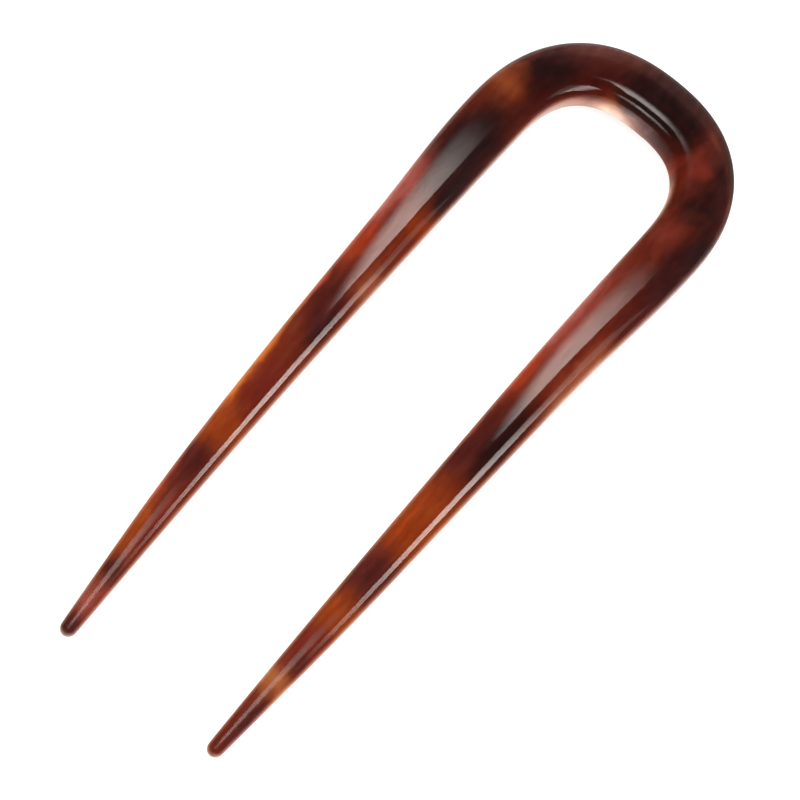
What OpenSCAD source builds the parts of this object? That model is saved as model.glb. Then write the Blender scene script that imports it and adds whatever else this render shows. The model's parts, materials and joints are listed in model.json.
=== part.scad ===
// French hair pin: one U-shaped bar of polished acetate, a wide crown with two tapering prongs.
// The pin lies on its back with the crown towards +Y and bows upwards between the crown and the tips.
// It rests on the crown's underside and on both tips, with its origin under the middle of its outline.

/* [Outline] */

// Overall length, from the tips to the outer edge of the crown
pin_length = 115; // [95:1:135]

// Length of the crown, from the shoulders to its outer edge
crown_length = 22.9; // [18:0.1:28]

// Spacing of the two prong centre lines at the shoulders
shoulder_spacing = 29.4; // [25:0.1:36]

// Spacing of the two prong centre lines at the tips
tip_spacing = 24.2; // [18:0.2:29]

// Squareness of the crown's bend: 2 is an ellipse, more is squarer
crown_squareness = 2.4; // [2:0.05:3]

// Height of the bow at mid length, above a straight pin
bow_height = 8.5; // [0:0.5:12]

/* [Width across the front] */

// Width of the bar in the middle of the crown
crown_width = 9.3; // [7:0.1:11]

// Width of each prong at its shoulder
shoulder_width = 8.5; // [6:0.1:10]

// Width of each prong at its tip, before the round end
tip_width = 2.2; // [1.4:0.1:3.5]

/* [Thickness from front to back] */

// Thickness of the bar in the middle of the crown
crown_thickness = 5.5; // [3.5:0.1:7]

// Thickness of each prong at its shoulder
shoulder_thickness = 5.1; // [3.5:0.1:6.5]

// Thickness of each prong at its tip
tip_thickness = 2.4; // [1.6:0.1:3.5]

/* [Roundness of the section] */

// Section of a tip: 2 is an oval, more is squarer
tip_section = 2; // [2:0.1:3]

// Section at the shoulders
shoulder_section = 2.6; // [2:0.1:3.4]

// Section in the middle of the crown, where the front face is nearly flat
crown_section = 3.4; // [2.2:0.1:4]

/* [Hidden] */

// Points around one section, and sections along each stretch
section_sides = 32;
tip_rings = 5;
prong_rings = 30;
crown_rings = 18;

// How a prong grows from its tip to its shoulder, all as shares from 0 to 1.
// ALONG is the place on the prong, SPLAY the way outwards from the tip spacing to the shoulder spacing,
// BREADTH the growth in width and DEPTH the growth in thickness.
ALONG = 0;
SPLAY = 1;
BREADTH = 2;
DEPTH = 3;
prong_growth = [
    [0.00, 0.00, 0.00, 0.00],
    [0.25, 0.37, 0.36, 0.38],
    [0.50, 0.58, 0.58, 0.63],
    [0.75, 0.74, 0.78, 0.82],
    [1.00, 1.00, 1.00, 1.00]
];

shoulder_y = pin_length - crown_length;
crown_reach = crown_length - crown_width / 2;
tip_round = tip_width / 2;

// Slope of one column at row i: level at the shoulder end, a plain difference elsewhere
function slope(i, column) =
    let (last = len(prong_growth) - 1)
    i == last ? 0 :
    let (before = prong_growth[max(i - 1, 0)])
    let (after = prong_growth[i + 1])
    (after[column] - before[column]) / (after[ALONG] - before[ALONG]);

// A smooth curve through one column of the table, read at a share of the prong
function growth(share, column) =
    let (rows = len(prong_growth))
    let (i = min(max([for (k = [0 : rows - 2]) prong_growth[k][ALONG] <= share ? k : 0]), rows - 2))
    let (low = prong_growth[i])
    let (high = prong_growth[i + 1])
    let (span = high[ALONG] - low[ALONG])
    let (t = (share - low[ALONG]) / span)
    low[column] * (2 * t * t * t - 3 * t * t + 1)
    + high[column] * (3 * t * t - 2 * t * t * t)
    + slope(i, column) * span * (t * t * t - 2 * t * t + t)
    + slope(i + 1, column) * span * (t * t * t - t * t);

function blend(from, to, share) = from + (to - from) * share;

// Station s runs from 0 at a tip to 1 at its shoulder and 2 in the middle of the crown
function crown_angle(s) = 90 * max(s - 1, 0);

function centre_x(s) =
    s <= 1
        ? blend(tip_spacing, shoulder_spacing, growth(s, SPLAY)) / 2
        : shoulder_spacing / 2 * pow(cos(crown_angle(s)), 2 / crown_squareness);

function centre_y(s) =
    s <= 1
        ? shoulder_y * s
        : shoulder_y + crown_reach * pow(sin(crown_angle(s)), 2 / crown_squareness);

// The bow is a parabola along the pin, level with the table at both ends
function bow_z(y) = bow_height * (1 - pow(2 * y / pin_length - 1, 2));
function bow_slope(y) = -4 * bow_height / pin_length * (2 * y / pin_length - 1);

// The round end of a tip, as a share of the full section
function tip_share(s) =
    let (inwards = min(centre_y(s) / tip_round, 1))
    sqrt(1 - pow(1 - inwards, 2));

// The bar keeps its shoulder width round most of the bend and swells in the middle of the crown
function bar_width(s) =
    s <= 1
        ? blend(tip_width, shoulder_width, growth(s, BREADTH)) * tip_share(s)
        : blend(shoulder_width, crown_width, pow(sin(crown_angle(s)), 4));

function bar_thickness(s) =
    s <= 1
        ? blend(tip_thickness, shoulder_thickness, growth(s, DEPTH)) * tip_share(s)
        : blend(shoulder_thickness, crown_thickness, pow(sin(crown_angle(s)), 2));

function section_power(s) =
    s <= 1
        ? blend(tip_section, shoulder_section, s)
        : blend(shoulder_section, crown_section, pow(sin(crown_angle(s)), 2));

// Stations from a tip to the middle of the crown; the round end has its own close rings
tip_stations = [for (k = [1 : tip_rings]) tip_round * (1 - cos(90 * k / tip_rings)) / shoulder_y];
first_prong = tip_stations[tip_rings - 1];
prong_stations = [for (k = [1 : prong_rings]) blend(first_prong, 1, k / prong_rings)];
crown_stations = [for (k = [1 : crown_rings]) 1 + k / crown_rings];
half_stations = concat(tip_stations, prong_stations, crown_stations);
half_count = len(half_stations);
ring_count = 2 * half_count - 1;

// Ring i counts along the whole bar, from the tip at -X round to the tip at +X
function side_of(i) = i < half_count ? -1 : 1;
function station_of(i) = half_stations[i < half_count ? i : ring_count - 1 - i];

function centre_of(i) =
    let (s = station_of(i))
    let (y = centre_y(s))
    [side_of(i) * centre_x(s), y, bow_z(y)];

function unit(v) = v / norm(v);

// One closed section, square to the centre line and to the bowed front face
function ring(i) =
    let (s = station_of(i))
    let (centre = centre_of(i))
    let (along = unit(centre_of(min(i + 1, ring_count - 1)) - centre_of(max(i - 1, 0))))
    let (face = unit([0, -bow_slope(centre[1]), 1]))
    let (across = unit(cross(face, along)))
    let (up = cross(along, across))
    let (bend = 2 / section_power(s))
    [for (k = [0 : section_sides - 1])
        let (angle = 360 * k / section_sides)
        let (out = sign(cos(angle)) * pow(abs(cos(angle)), bend))
        let (rise = sign(sin(angle)) * pow(abs(sin(angle)), bend))
        centre + across * out * bar_width(s) / 2 + up * rise * bar_thickness(s) / 2];

ring_points = [for (i = [0 : ring_count - 1]) each ring(i)];
tip_points = [for (side = [-1, 1]) [side * tip_spacing / 2, 0, bow_z(0)]];
raw_points = concat(ring_points, tip_points);

// The lowest points near the tips and under the crown, which the finished pin rests on
function lowest(points) =
    let (low = min([for (p = points) p[2]]))
    [for (p = points) if (p[2] == low) p][0];

tip_rest = lowest([for (p = raw_points) if (p[1] < shoulder_y / 2) p]);
crown_rest = lowest([for (p = raw_points) if (p[1] > shoulder_y / 2) p]);
rest_slope = (crown_rest[2] - tip_rest[2]) / (crown_rest[1] - tip_rest[1]);
function rested_z(p) = p[2] - tip_rest[2] - rest_slope * (p[1] - tip_rest[1]);

floor_z = min([for (p = raw_points) rested_z(p)]);
front_y = max([for (p = raw_points) p[1]]);
back_y = min([for (p = raw_points) p[1]]);
pin_points = [for (p = raw_points) [p[0], p[1] - (front_y + back_y) / 2, rested_z(p) - floor_z]];

// Skin between neighbouring rings, and a fan over each round tip
function at(i, k) = i * section_sides + k % section_sides;
first_tip = ring_count * section_sides;
last_tip = first_tip + 1;
skin = [
    for (i = [0 : ring_count - 2])
        for (k = [0 : section_sides - 1])
            each [[at(i, k), at(i + 1, k), at(i + 1, k + 1)], [at(i, k), at(i + 1, k + 1), at(i, k + 1)]]
];
first_fan = [for (k = [0 : section_sides - 1]) [first_tip, at(0, k), at(0, k + 1)]];
last_fan = [for (k = [0 : section_sides - 1]) [last_tip, at(ring_count - 1, k + 1), at(ring_count - 1, k)]];

module pin() {
    color([0.27, 0.12, 0.08])
    polyhedron(points = pin_points, faces = concat(skin, first_fan, last_fan), convexity = 6);
}

pin();
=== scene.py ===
import json
from math import cos, radians, sin

import bpy
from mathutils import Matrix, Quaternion, Vector

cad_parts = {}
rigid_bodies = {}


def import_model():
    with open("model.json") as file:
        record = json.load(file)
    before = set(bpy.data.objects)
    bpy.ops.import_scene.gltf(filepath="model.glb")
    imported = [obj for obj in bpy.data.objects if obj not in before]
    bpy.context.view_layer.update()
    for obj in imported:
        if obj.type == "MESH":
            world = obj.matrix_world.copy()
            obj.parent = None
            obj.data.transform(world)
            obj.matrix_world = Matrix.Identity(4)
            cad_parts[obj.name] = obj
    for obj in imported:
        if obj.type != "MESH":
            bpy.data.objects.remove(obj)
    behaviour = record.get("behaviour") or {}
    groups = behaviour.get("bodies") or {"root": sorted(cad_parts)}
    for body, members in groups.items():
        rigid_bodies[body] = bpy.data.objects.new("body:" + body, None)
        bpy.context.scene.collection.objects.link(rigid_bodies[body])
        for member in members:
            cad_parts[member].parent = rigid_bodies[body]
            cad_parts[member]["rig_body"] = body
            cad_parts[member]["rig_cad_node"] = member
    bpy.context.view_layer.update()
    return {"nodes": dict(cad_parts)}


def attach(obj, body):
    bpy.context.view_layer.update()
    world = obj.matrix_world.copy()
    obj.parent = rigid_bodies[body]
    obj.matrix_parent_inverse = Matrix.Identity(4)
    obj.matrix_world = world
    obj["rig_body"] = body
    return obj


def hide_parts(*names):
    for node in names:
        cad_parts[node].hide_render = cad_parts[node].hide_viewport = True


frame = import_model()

# The pin
# One U-shaped bar of cellulose acetate, cut from tortoiseshell sheet, heated and bowed over a form, and
# tumbled until the edges are round and the face is polished. It is one moulding with nothing fixed to it.
MM = 0.001
MERGE_DISTANCE = 0.002 * MM
QUAD_FACE_ANGLE = radians(50)
QUAD_CORNER_ANGLE = radians(60)
ROUNDING_LEVELS = 2

bpy.ops.object.select_all(action="DESELECT")
solid = frame["nodes"]["pin"]
solid.select_set(True)
bpy.context.view_layer.objects.active = solid
bpy.ops.object.duplicate()
pin = bpy.context.object
pin.name = "polished_pin"
pin.data.name = "polished_pin"
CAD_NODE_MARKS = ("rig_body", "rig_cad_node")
for mark in CAD_NODE_MARKS:
    del pin[mark]

# The solid's loose triangles are joined into one skin of quads, which is then rounded
bpy.ops.object.mode_set(mode="EDIT")
bpy.ops.mesh.select_all(action="SELECT")
bpy.ops.mesh.remove_doubles(threshold=MERGE_DISTANCE)
bpy.ops.mesh.tris_convert_to_quads(face_threshold=QUAD_FACE_ANGLE, shape_threshold=QUAD_CORNER_ANGLE)
bpy.ops.object.mode_set(mode="OBJECT")

rounding = pin.modifiers.new("rounding", "SUBSURF")
rounding.levels = ROUNDING_LEVELS
rounding.render_levels = ROUNDING_LEVELS
bpy.ops.object.modifier_apply(modifier=rounding.name)
bpy.ops.object.shade_smooth()

# The acetate is a clear body that soaks up light with depth, under a thin hard polish. Its side walls are
# less clear, as worked out further down.
CLEAR_BODY = 1.0
DEPTH_TINT = (0.70, 0.30, 0.12, 1.0)
DEPTH_PER_METRE = 250.0

acetate = bpy.data.materials.new("tortoiseshell_acetate")
acetate.use_nodes = True
sheet = acetate.node_tree
shell = sheet.nodes["Principled BSDF"]
shell.inputs["Roughness"].default_value = 0.22
shell.inputs["IOR"].default_value = 1.05
shell.inputs["Transmission Weight"].default_value = CLEAR_BODY
shell.inputs["Coat Roughness"].default_value = 0.05
depth = sheet.nodes.new("ShaderNodeVolumeAbsorption")
depth.inputs["Color"].default_value = DEPTH_TINT
depth.inputs["Density"].default_value = DEPTH_PER_METRE
sheet.links.new(depth.outputs["Volume"], sheet.nodes["Material Output"].inputs["Volume"])

# The colours of the sheet, as light comes through it. The table marks the few blotches that are painted
# light and the one painted sheen.
CHAR = (0.030, 0.018, 0.023)
COAL = (0.026, 0.009, 0.010)
UMBER = (0.054, 0.019, 0.022)
# This colour serves only the painted sheen on the crown's outer rim
COCOA_SHEEN = (0.13, 0.062, 0.066)
MAROON = (0.085, 0.020, 0.018)
GARNET = (0.17, 0.030, 0.018)
RUSSET = (0.17, 0.038, 0.018)
BRICK = (0.31, 0.090, 0.070)
EMBER = (0.37, 0.068, 0.030)
# Rose and flame serve only painted light, on the left rims and on the crown's inner wall
ROSE_RIM_LIGHT = (0.44, 0.16, 0.15)
FLAME_LIGHT = (0.60, 0.18, 0.03)
AMBER = (0.28, 0.064, 0.014)
HONEY = (0.37, 0.14, 0.050)
SAND = (0.32, 0.13, 0.07)

# Each blotch in mm: place across and along the pin, half breadth, half length, turn in degrees, colour
BLOTCHES = [
    (1.5, 53.5, 9.0, 6.4, 0, CHAR),
    (5.0, 56.4, 6.0, 1.8, -10, CHAR),
    (-9.5, 50.5, 3.2, 3.6, 40, MAROON),
    # painted sheen: this pale blotch along the crown's upper-left outer rim stands in for a reflection
    (-11.6, 52.4, 1.8, 6.6, -54, COCOA_SHEEN),
    (-13.5, 46.2, 3.2, 4.2, -30, CHAR),
    (-12.0, 40.5, 1.6, 4.5, -10, MAROON),
    (-16.2, 40.2, 2.3, 2.6, 10, HONEY),
    (-14.4, 28.3, 3.9, 8.6, 0, CHAR),
    (-12.0, 21.2, 1.5, 4.2, 0, CHAR),
    (-2.6, 47.7, 4.2, 1.0, 0, EMBER),
    # painted light: the next two flame spots on the crown's inner wall stand in for hot spots of light
    (-4.4, 47.8, 1.0, 0.6, 20, FLAME_LIGHT),
    (-0.6, 47.8, 0.6, 0.5, 0, FLAME_LIGHT),
    (3.6, 48.1, 4.4, 1.0, 0, GARNET),
    (7.0, 46.4, 1.0, 1.6, -40, EMBER),
    (10.0, 53.6, 3.8, 2.2, -38, UMBER),
    (12.6, 50.2, 1.8, 4.0, 34, UMBER),
    (14.6, 51.4, 2.6, 6.0, 38, CHAR),
    (9.9, 49.2, 1.7, 3.6, 26, BRICK),
    (14.4, 44.0, 3.5, 2.8, 0, CHAR),
    (15.0, 40.6, 1.6, 1.6, 0, RUSSET),
    (13.0, 37.6, 1.7, 2.8, 0, BRICK),
    (17.0, 33.5, 2.4, 10.0, 0, UMBER),
    (17.3, 38.5, 1.4, 2.6, 0, CHAR),
    (16.7, 22.8, 1.6, 2.8, 0, MAROON),
    (11.7, 19.0, 1.4, 9.5, 0, BRICK),
    # painted light: this narrow rose strip on the right prong's left rim stands in for light through the
    # edge
    (10.8, 19.0, 0.6, 8.0, 0, ROSE_RIM_LIGHT),
    (16.6, 11.5, 1.1, 7.0, 0, SAND),
    (11.0, 7.0, 0.9, 4.5, 0, EMBER),
    (12.0, -4.8, 1.5, 8.0, 0, MAROON),
    (10.7, -3.5, 0.4, 5.0, 0, GARNET),
    (14.6, -2.0, 1.6, 7.5, 0, COAL),
    (13.4, -18.0, 3.4, 6.3, 0, AMBER),
    (12.8, -27.0, 2.6, 3.8, 0, MAROON),
    (13.0, -34.0, 2.4, 2.8, 0, AMBER),
    (12.9, -40.0, 2.2, 3.8, 0, GARNET),
    (13.3, -41.6, 0.6, 1.5, 0, MAROON),
    (12.5, -46.0, 2.1, 2.2, 0, HONEY),
    (12.4, -53.0, 2.0, 4.8, 0, GARNET),
    (13.2, -51.5, 0.9, 3.8, 0, MAROON),
    # painted light: this rose strip on the left prong's left rim stands in for light through the edge
    (-17.4, 16.5, 1.3, 6.5, 0, ROSE_RIM_LIGHT),
    (-12.0, 14.2, 1.3, 2.0, 0, AMBER),
    (-12.0, 2.5, 0.9, 2.8, 0, SAND),
    (-16.6, 7.2, 1.2, 4.0, 0, EMBER),
    (-14.2, -2.6, 2.3, 5.2, 8, MAROON),
    (-12.8, -5.8, 1.0, 4.0, 0, UMBER),
    (-13.2, -17.0, 1.9, 4.8, 0, GARNET),
    # painted light: the next two narrow strips on the left prong's left rim stand in for light through the
    # edge
    (-16.9, -2.5, 0.6, 5.0, 3, EMBER),
    (-16.1, -17.0, 0.65, 10.5, 3, FLAME_LIGHT),
    (-14.2, -24.2, 2.8, 3.0, 0, AMBER),
    (-14.0, -30.6, 2.4, 3.3, 0, MAROON),
    # painted light: this narrow strip on the left prong's left rim stands in for light through the edge
    (-15.3, -37.0, 0.9, 5.5, 3, EMBER),
    (-12.3, -39.0, 1.0, 7.0, 0, GARNET),
    (-14.1, -42.0, 1.1, 4.0, 5, AMBER),
    (-12.8, -47.3, 1.3, 1.6, 0, MAROON),
    (-12.3, -52.2, 1.6, 2.8, 0, BRICK),
    (-11.3, -53.5, 0.7, 3.4, 0, GARNET),
    (-12.0, -56.5, 1.6, 1.8, 0, MAROON),
]

# Where a blotch's soft edge starts and ends, as shares of its half sizes, and how far the edges drift
BLOTCH_OUTSIDE = 1.55
BLOTCH_INSIDE = 0.45
DRIFT_REACH = (2.0 * MM, 3.6 * MM, 0.0)
DRIFT_SCALE = 260.0
NOISE_MIDDLE = (0.5, 0.5, 0.5)


def feed(tree, socket, source):
    """Link a socket to another node's output, or set it to a plain value."""
    if isinstance(source, bpy.types.NodeSocket):
        tree.links.new(source, socket)
    else:
        socket.default_value = source


def reckoned(tree, operation, *terms, held=False):
    """One step of arithmetic on plain numbers, whose result can be held between 0 and 1."""
    step = tree.nodes.new("ShaderNodeMath")
    step.operation = operation
    step.use_clamp = held
    for socket, term in zip(step.inputs, terms):
        feed(tree, socket, term)
    return step.outputs["Value"]


def placed(tree, operation, *terms):
    """One step of arithmetic on places or directions, which gives a number for a length or a dot product."""
    step = tree.nodes.new("ShaderNodeVectorMath")
    step.operation = operation
    for socket, term in zip(step.inputs, terms):
        feed(tree, socket, term)
    gives_number = operation in ("DOT_PRODUCT", "LENGTH")
    return step.outputs["Value" if gives_number else "Vector"]


def faded(tree, value, start, end, low=0.0, high=1.0, soft=True):
    """Low where the value is at start and high where it is at end, and level beyond both."""
    fade = tree.nodes.new("ShaderNodeMapRange")
    fade.interpolation_type = "SMOOTHSTEP" if soft else "LINEAR"
    fade.inputs["From Min"].default_value = start
    fade.inputs["From Max"].default_value = end
    feed(tree, fade.inputs["Value"], value)
    feed(tree, fade.inputs["To Min"], low)
    feed(tree, fade.inputs["To Max"], high)
    return fade.outputs["Result"]


def laid_over(tree, share, under, over):
    """One colour laid over another, by a share from 0 to 1.

    The node has a set of sockets of the same names for each kind of value, so they are picked by number.
    """
    mix = tree.nodes.new("ShaderNodeMix")
    mix.data_type = "RGBA"
    share_socket = mix.inputs[0]
    under_socket = mix.inputs[6]
    over_socket = mix.inputs[7]
    feed(tree, share_socket, share)
    feed(tree, under_socket, under)
    feed(tree, over_socket, over)
    return mix.outputs[2]


blotch = bpy.data.node_groups.new("blotch", "ShaderNodeTree")
BLOTCH_SOCKETS = [
    ("Place", "NodeSocketVector"),
    ("Centre", "NodeSocketVector"),
    ("Turn", "NodeSocketVector"),
    ("Size", "NodeSocketVector"),
    ("Under", "NodeSocketColor"),
    ("Colour", "NodeSocketColor"),
]
for name, kind in BLOTCH_SOCKETS:
    blotch.interface.new_socket(name, in_out="INPUT", socket_type=kind)
blotch.interface.new_socket("Sheet", in_out="OUTPUT", socket_type="NodeSocketColor")
taken = blotch.nodes.new("NodeGroupInput").outputs
given = blotch.nodes.new("NodeGroupOutput").inputs
centred = blotch.nodes.new("ShaderNodeMapping")
centred.vector_type = "TEXTURE"
blotch.links.new(taken["Place"], centred.inputs["Vector"])
blotch.links.new(taken["Centre"], centred.inputs["Location"])
blotch.links.new(taken["Turn"], centred.inputs["Rotation"])
blotch.links.new(taken["Size"], centred.inputs["Scale"])
blotch_radius = placed(blotch, "LENGTH", centred.outputs["Vector"])
blotch_share = faded(blotch, blotch_radius, BLOTCH_OUTSIDE, BLOTCH_INSIDE)
blotch.links.new(laid_over(blotch, blotch_share, taken["Under"], taken["Colour"]), given["Sheet"])

surface = sheet.nodes.new("ShaderNodeTexCoord")
spot = surface.outputs["Object"]
outwards = surface.outputs["Normal"]
drift = sheet.nodes.new("ShaderNodeTexNoise")
drift.inputs["Scale"].default_value = DRIFT_SCALE
drift.inputs["Detail"].default_value = 3.0
drift.inputs["Roughness"].default_value = 0.55
sheet.links.new(spot, drift.inputs["Vector"])
drift_way = placed(sheet, "SUBTRACT", drift.outputs["Color"], NOISE_MIDDLE)
drifted_spot = placed(sheet, "MULTIPLY_ADD", drift_way, DRIFT_REACH, spot)


def lay_blotch(under, colour, across, along, half_breadth, half_length, turn=0.0):
    """Lay one soft-edged blotch over what is under it. Sizes are in mm and the turn is in degrees."""
    patch = sheet.nodes.new("ShaderNodeGroup")
    patch.node_tree = blotch
    patch.inputs["Centre"].default_value = (across * MM, along * MM, 0.0)
    patch.inputs["Turn"].default_value = (0.0, 0.0, radians(turn))
    patch.inputs["Size"].default_value = (half_breadth * MM, half_length * MM, 1.0)
    feed(sheet, patch.inputs["Under"], under)
    feed(sheet, patch.inputs["Colour"], colour)
    sheet.links.new(drifted_spot, patch.inputs["Place"])
    return patch.outputs["Sheet"]


pattern = (*RUSSET, 1.0)
for across, along, half_breadth, half_length, turn, colour in BLOTCHES:
    pattern = lay_blotch(pattern, (*colour, 1.0), across, along, half_breadth, half_length, turn)

# Painted light: where the bar curves away to its side walls, its colour is made paler, which stands in
# for the light that comes through less acetate there. A face counts as a wall by how steeply it stands.
# Faces that look outwards over the crown get no painted light and stay dark. The underside counts as flat
# only where it is turned well under, so a wall gets the painted light down to its lower edge.
UNDERSIDE_HELD_BACK = 0.35
OUTER_LEAN = (0.0, 0.65, 0.0)
LEVEL_FACE = 0.8
STEEP_FACE = 0.05
RIM_LIGHTENING_GAMMA = 0.42

upright = placed(sheet, "DOT_PRODUCT", outwards, (0.0, 0.0, 1.0))
turned_under = reckoned(sheet, "MULTIPLY_ADD", upright, -1.0, -UNDERSIDE_HELD_BACK)
flatness = reckoned(sheet, "MAXIMUM", upright, turned_under)
leaning = placed(sheet, "DOT_PRODUCT", outwards, OUTER_LEAN)
outer_lean = reckoned(sheet, "MAXIMUM", leaning, 0.0)
level = reckoned(sheet, "ADD", flatness, outer_lean)
steepness = faded(sheet, level, LEVEL_FACE, STEEP_FACE)

# Painted shade: the crown's inner wall gets less of the painted wall light in a patch right of its middle,
# given as a blotch's place and half sizes. The painted light also fades out over the round edge above it,
# which lies between two circles about a point between the prongs. Places and radii are in mm.
BRIGHT = (1.0, 1.0, 1.0, 1.0)
DIM = (0.2, 0.2, 0.2, 1.0)
INNER_SHADE = (5.1, 47.0, 5.2, 3.0)
BEND_CENTRE_ACROSS = -0.2
BEND_CENTRE_ALONG = 37.8
EDGE_STARTS = 10.6
EDGE_ENDS = 11.3
FACE_STARTS = 12.0
FACE_ENDS = 14.0
EDGE_DARKENING = 0.8
CROWN_STARTS = 38.0
CROWN_ENDS = 43.0

inner_shade = lay_blotch(BRIGHT, DIM, *INNER_SHADE)
to_bend_centre = (-BEND_CENTRE_ACROSS * MM, -BEND_CENTRE_ALONG * MM, 0.0)
from_bend_centre = placed(sheet, "MULTIPLY_ADD", spot, (1.0, 1.0, 0.0), to_bend_centre)
bend_radius = placed(sheet, "LENGTH", from_bend_centre)
past_edge = faded(sheet, bend_radius, EDGE_STARTS * MM, EDGE_ENDS * MM)
before_face = faded(sheet, bend_radius, FACE_ENDS * MM, FACE_STARTS * MM, high=EDGE_DARKENING)
along_pin = sheet.nodes.new("ShaderNodeSeparateXYZ")
sheet.links.new(spot, along_pin.inputs["Vector"])
in_crown = faded(sheet, along_pin.outputs["Y"], CROWN_STARTS * MM, CROWN_ENDS * MM)
on_edge = reckoned(sheet, "MULTIPLY", past_edge, before_face)
on_crown_edge = reckoned(sheet, "MULTIPLY", on_edge, in_crown)
off_crown_edge = reckoned(sheet, "SUBTRACT", 1.0, on_crown_edge)
wall_light = reckoned(sheet, "MULTIPLY", inner_shade, off_crown_edge)
wall = reckoned(sheet, "MULTIPLY", steepness, wall_light)

# Fine streaks that run along the bar make its colour a little deeper or paler
STREAK_STRETCH = (1.0, 0.16, 1.0)
STREAK_SCALE = 1100.0
STREAK_NOISE_LOW = 0.3
STREAK_NOISE_HIGH = 0.7
DEEP_STREAK = 1.12
PALE_STREAK = 0.88

streaks = sheet.nodes.new("ShaderNodeTexNoise")
streaks.inputs["Scale"].default_value = STREAK_SCALE
streaks.inputs["Detail"].default_value = 3.0
sheet.links.new(placed(sheet, "MULTIPLY", drifted_spot, STREAK_STRETCH), streaks.inputs["Vector"])
streak_depth = faded(sheet, streaks.outputs["Fac"], STREAK_NOISE_LOW, STREAK_NOISE_HIGH,
                     DEEP_STREAK, PALE_STREAK, soft=False)
# Painted light: the steeper the wall, the paler the gamma below makes its colour
painted_rim_lightening = faded(sheet, wall, 0.0, 1.0, 1.0, RIM_LIGHTENING_GAMMA, soft=False)
streaked_and_rim_lit = sheet.nodes.new("ShaderNodeGamma")
sheet.links.new(pattern, streaked_and_rim_lit.inputs["Color"])
sheet.links.new(reckoned(sheet, "MULTIPLY", painted_rim_lightening, streak_depth), streaked_and_rim_lit.inputs["Gamma"])

# Painted light tints the walls: golden on walls towards -X, salmon on the others, paler round the bend,
# and palest in a painted glow left of the crown's middle, which stands in for light gathered there. A wall
# is also milkier than the body, which lets the painted light show.
SALMON = (0.38, 0.21, 0.18)
BLUSH = (0.72, 0.46, 0.40)
GOLD = (1.00, 0.42, 0.09)
PEARL = (1.00, 0.74, 0.62)
NO_GLOW = (0.0, 0.0, 0.0, 1.0)
INNER_GLOW = (-3.0, 47.3, 2.9, 1.3)
LEFT_WALL_STARTS = 0.1
LEFT_WALL_ENDS = 0.7
BLUSH_STARTS = 44.0
BLUSH_ENDS = 47.0
WALL_TINT = 0.45
GLOW_TINT = 0.95
WALL_CLEARNESS = 0.35
GLOW_CLEARNESS = 0.0

# Painted glow: the patch where the crown's inner wall is painted palest, though no lamp is there
glow = lay_blotch(NO_GLOW, BRIGHT, *INNER_GLOW)
to_left = placed(sheet, "DOT_PRODUCT", outwards, (-1.0, 0.0, 0.0))
left_wall = faded(sheet, to_left, LEFT_WALL_STARTS, LEFT_WALL_ENDS, soft=False)
round_bend = faded(sheet, along_pin.outputs["Y"], BLUSH_STARTS * MM, BLUSH_ENDS * MM)
painted_right_wall_light = laid_over(sheet, round_bend, (*SALMON, 1.0), (*BLUSH, 1.0))
painted_wall_light = laid_over(sheet, left_wall, painted_right_wall_light, (*GOLD, 1.0))
lit_colour = laid_over(sheet, glow, painted_wall_light, (*PEARL, 1.0))
most_tint = faded(sheet, glow, 0.0, 1.0, WALL_TINT, GLOW_TINT, soft=False)
tint = reckoned(sheet, "MULTIPLY", wall, most_tint)
body_colour = laid_over(sheet, tint, streaked_and_rim_lit.outputs["Color"], lit_colour)
sheet.links.new(body_colour, shell.inputs["Base Color"])
least_clear = faded(sheet, glow, 0.0, 1.0, WALL_CLEARNESS, GLOW_CLEARNESS, soft=False)
clearness = faded(sheet, wall, 0.0, 1.0, CLEAR_BODY, least_clear, soft=False)
sheet.links.new(clearness, shell.inputs["Transmission Weight"])

# The polish is fullest on the walls towards +X and least on the crown's outer wall. Inside the bend it is
# dull at the highlights' ends and full along the lower one. The wheel leaves very shallow waves all over.
FACE_POLISH = 0.25
OUTER_WALL_POLISH = 0.06
OUTER_WALL = (0.35, 0.95, 0.0)
OUTER_WALL_STARTS = 0.3
OUTER_WALL_ENDS = 0.7
WALL_EXTRA = 2.0
WAVE_SCALE = 180.0
WAVE_HEIGHT = 0.01 * MM

# Each patch in mm: place across and along, half breadth, half length, turn in degrees, and its share of the
# polish around it
POLISH_PATCHES = [
    (6.8, 48.8, 4.6, 2.6, -35, 0.3),
    (9.4, 46.6, 2.8, 2.2, -50, 0.3),
    (-8.4, 46.4, 2.2, 2.2, 0, 0.6),
    (0.3, 49.15, 4.8, 0.6, 0, 2.0),
]

to_outer_wall = placed(sheet, "DOT_PRODUCT", outwards, OUTER_WALL)
face_polish = faded(sheet, to_outer_wall, OUTER_WALL_STARTS, OUTER_WALL_ENDS,
                    FACE_POLISH, OUTER_WALL_POLISH, soft=False)
right_wall = reckoned(sheet, "SUBTRACT", steepness, left_wall, held=True)
wall_gain = reckoned(sheet, "MULTIPLY_ADD", right_wall, WALL_EXTRA, 1.0)
polish = reckoned(sheet, "MULTIPLY", face_polish, wall_gain)
for across, along, half_breadth, half_length, turn, share in POLISH_PATCHES:
    grey = (share, share, share, 1.0)
    patch_share = lay_blotch(BRIGHT, grey, across, along, half_breadth, half_length, turn)
    polish = reckoned(sheet, "MULTIPLY", polish, patch_share)
sheet.links.new(polish, shell.inputs["Coat Weight"])

waves = sheet.nodes.new("ShaderNodeTexNoise")
waves.inputs["Scale"].default_value = WAVE_SCALE
waves.inputs["Detail"].default_value = 1.0
sheet.links.new(spot, waves.inputs["Vector"])
waviness = sheet.nodes.new("ShaderNodeBump")
waviness.inputs["Distance"].default_value = WAVE_HEIGHT
sheet.links.new(waves.outputs["Fac"], waviness.inputs["Height"])
sheet.links.new(waviness.outputs["Normal"], shell.inputs["Coat Normal"])

pin.data.materials.clear()
pin.data.materials.append(acetate)
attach(pin, "root")
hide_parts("pin")

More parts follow.
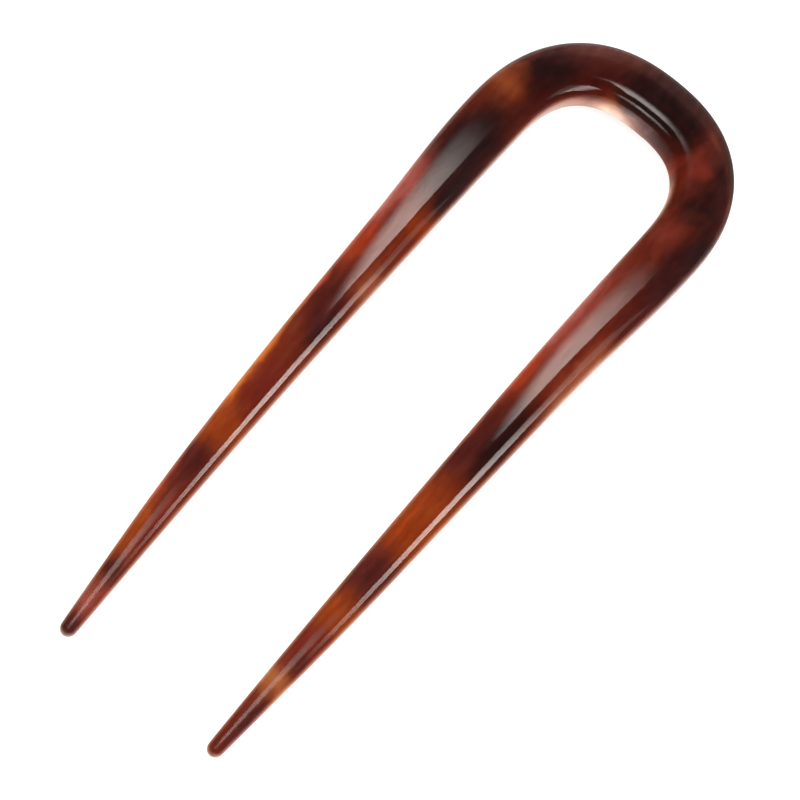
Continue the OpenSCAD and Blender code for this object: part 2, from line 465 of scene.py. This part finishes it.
# The table
# A broad white sheet that the pin lies on, lit until it is nearly as white as the paper round a cut-out.
# It lies a hair's breadth below the pin, so that the two don't meet in one plane.
TABLE_SIZE = 6.0
TABLE_DROP = 0.02 * MM

bpy.ops.mesh.primitive_plane_add(size=TABLE_SIZE, location=(0.0, 0.0, -TABLE_DROP))
table = bpy.context.object
table.name = "white_table"
paper = bpy.data.materials.new("white_paper")
paper.use_nodes = True
paper_shader = paper.node_tree.nodes["Principled BSDF"]
paper_shader.inputs["Base Color"].default_value = (0.25, 0.25, 0.25, 1.0)
paper_shader.inputs["Roughness"].default_value = 0.9
paper_shader.inputs["Specular IOR Level"].default_value = 0.0
paper_shader.inputs["Emission Color"].default_value = (1.0, 1.0, 1.0, 1.0)
paper_shader.inputs["Emission Strength"].default_value = 0.86
table.data.materials.append(paper)

# The studio
# A dim room with three large soft boxes: one beyond the crown, whose mirror images are the wide bands on the
# prongs, one to the right, which draws the long thin lines, and one overhead, which picks out the tips.
LAMP_DISTANCE = 0.9
LAMP_COLOUR = (1.0, 0.93, 0.86)
ROOM_GREY = (0.16, 0.16, 0.16, 1.0)

room = bpy.data.worlds.new("dim_room")
room.use_nodes = True
room.node_tree.nodes["Background"].inputs["Color"].default_value = ROOM_GREY
bpy.context.scene.world = room


def soft_box(name, towards, width, height, watts, fades, roll=0.0):
    """A rectangular lamp that faces the pin.

    Each fade is a way across the lamp, where along it the lamp is darkest and brightest, and the least
    brightness. The ways are read in shares of the lamp's width and height.
    """
    stand = Vector(towards).normalized() * LAMP_DISTANCE
    bpy.ops.object.light_add(type="AREA", location=stand)
    lamp = bpy.context.object
    lamp.name = name
    lamp.data.shape = "RECTANGLE"
    lamp.data.size = width
    lamp.data.size_y = height
    lamp.data.energy = watts
    lamp.data.color = LAMP_COLOUR
    lamp.rotation_mode = "QUATERNION"
    lamp.rotation_quaternion = (-stand).to_track_quat("-Z", "Y") @ Quaternion((0, 0, 1), radians(roll))
    lamp.data.use_nodes = True
    beam = lamp.data.node_tree
    panel = beam.nodes.new("ShaderNodeNewGeometry").outputs["Parametric"]
    brightness = 1.0
    for way, dark, bright, least in fades:
        share = faded(beam, placed(beam, "DOT_PRODUCT", panel, (*way, 0.0)), dark, bright, least)
        brightness = reckoned(beam, "MULTIPLY", share, brightness)
    beam.links.new(brightness, beam.nodes["Emission"].inputs["Strength"])
    return lamp


ACROSS = (1.0, 0.0)
UP = (0.0, 1.0)
CORNERWISE = (0.6, 1.0)

soft_box(
    "soft_box_beyond_crown",
    towards=(-0.30, 0.455, 0.716),
    width=0.66,
    height=0.44,
    watts=22.0,
    roll=-30.0,
    fades=[(ACROSS, 1.0, 0.15, 0.0), (UP, 0.04, 0.60, 0.0), (CORNERWISE, 1.12, 0.80, 0.0)],
)
soft_box(
    "soft_box_right",
    towards=(0.61, 0.10, 0.654),
    width=0.90,
    height=0.42,
    watts=43.0,
    fades=[(ACROSS, 0.90, 0.56, 0.08), (ACROSS, 0.20, 0.58, 0.0)],
)
overhead = soft_box(
    "soft_box_overhead",
    towards=(-0.08, -0.275, 0.85),
    width=0.80,
    height=0.50,
    watts=15.5,
    fades=[(ACROSS, 0.0, 0.4, 0.0), (ACROSS, 1.0, 0.6, 0.0), (UP, 1.0, 0.61, 0.0), (UP, 0.36, 0.50, 0.4)],
)
STRAIGHT_DOWN = Quaternion()
overhead.rotation_quaternion = STRAIGHT_DOWN

# The camera
# It looks down on the front face from the tips' side, turned so that the crown points up and to the right.
CAMERA_TURN = 14.5
CAMERA_HEIGHT = 66.0
CAMERA_ROLL = 25.75
CAMERA_DISTANCE = 0.833
FRAME_WIDTH = 104.6 * MM
SENSOR_WIDTH = 36.0
AIM_RIGHT = -1.4 * MM
AIM_UP = -1.7 * MM

round_pin = radians(CAMERA_TURN)
above_table = radians(CAMERA_HEIGHT)
to_camera = Vector((
    sin(round_pin) * cos(above_table),
    -cos(round_pin) * cos(above_table),
    sin(above_table),
))
camera_pose = (-to_camera).to_track_quat("-Z", "Y") @ Quaternion((0, 0, 1), radians(CAMERA_ROLL))
aim = camera_pose @ Vector((AIM_RIGHT, AIM_UP, 0.0))
bpy.ops.object.camera_add(location=to_camera * CAMERA_DISTANCE + aim)
camera = bpy.context.object
camera.rotation_mode = "QUATERNION"
camera.rotation_quaternion = camera_pose
camera.data.sensor_width = SENSOR_WIDTH
camera.data.lens = SENSOR_WIDTH * CAMERA_DISTANCE / FRAME_WIDTH
bpy.context.scene.camera = camera
bpy.context.scene.view_settings.view_transform = "Standard"
